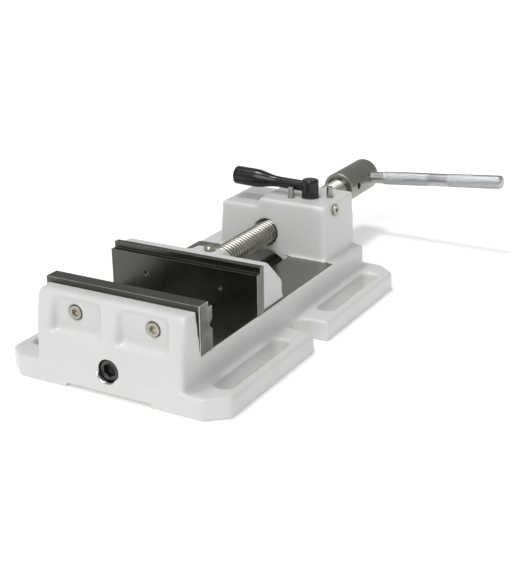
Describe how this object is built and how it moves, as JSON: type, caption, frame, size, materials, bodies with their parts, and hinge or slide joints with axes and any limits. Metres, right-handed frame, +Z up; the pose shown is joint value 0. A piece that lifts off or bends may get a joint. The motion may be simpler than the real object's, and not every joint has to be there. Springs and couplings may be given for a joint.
{
  "type": "machine vise",
  "caption": "Quick-action machine vise with a cast base, slotted clamping flanges, sliding jaw, trapezoidal spindle with a crank bar, and a quick-release lever.",
  "frame": {"origin": "middle of the four clamping slots, on the underside of the base", "axes": "+X along the spindle from the fixed jaw to the crank, +Z up"},
  "size_m": [0.6599, 0.3657, 0.1548],
  "materials": {
    "painted_casting": "gloss",
    "jaw_plate_steel": "ground, dark",
    "bright_screws": "zinc plated",
    "black_screws": "black oxide",
    "hardened_steel": "ground",
    "ground_rod_steel": "ground",
    "spring_steel": "drawn",
    "half_nut_iron": "machined",
    "spindle_steel": "turned, bright",
    "crank_hub_steel": "turned, satin",
    "plated_bar": "zinc plated, knurled",
    "black_lever": "gloss black",
    "black_grip": "gloss black"
  },
  "bodies": {
    "base": {"base_casting": "painted_casting", "fixed_jaw_plate": "jaw_plate_steel", "fixed_jaw_screws": "bright_screws", "guide_rod": "ground_rod_steel", "guide_rod_screw": "black_screws", "stop_pins": "hardened_steel", "cam_retaining_screw": "bright_screws", "nut_springs": "spring_steel", "nut_cover": "hardened_steel", "nut_cover_screws": "black_screws"},
    "jaw": {"movable_jaw": "painted_casting", "movable_jaw_plate": "jaw_plate_steel", "movable_jaw_screws": "bright_screws", "spindle_keeper_screw": "bright_screws", "thrust_disc": "hardened_steel"},
    "spindle": {"spindle": "spindle_steel", "crank_hub": "crank_hub_steel", "crank_set_screw": "black_screws", "handle_bar": "plated_bar"},
    "lever": {"cam_shaft": "hardened_steel", "lever_hub": "black_lever", "lever_arm": "black_lever", "lever_grip": "black_grip", "lever_grub_screw": "black_screws"},
    "half_nut": {"half_nut": "half_nut_iron"}
  },
  "joints": [
    {"name": "jaw_slide", "type": "slide", "parent": "base", "child": "jaw", "axis": [1, 0, 0], "range_m": [-0.09651, 0.10001]},
    {"name": "spindle_turn", "type": "hinge", "parent": "jaw", "child": "spindle", "pos_m": [0, 0, 0.082], "axis": [1, 0, 0], "range_deg": [-5790, 6000]},
    {"name": "lever_turn", "type": "hinge", "parent": "base", "child": "lever", "pos_m": [0.165, -0.0455, 0.126], "axis": [0, 0, 1], "range_deg": [-126.03, 0]},
    {"name": "half_nut_slide", "type": "slide", "parent": "base", "child": "half_nut", "axis": [0, 1, 0], "range_m": [-0.00451, 0]}
  ],
  "couplings": [
    {"joint": "jaw_slide", "follows": "spindle_turn", "m_per_rad": 0.00095493},
    {"joint": "lever_turn", "follows": "half_nut_slide", "rad_per_m": 487.81}
  ]
}
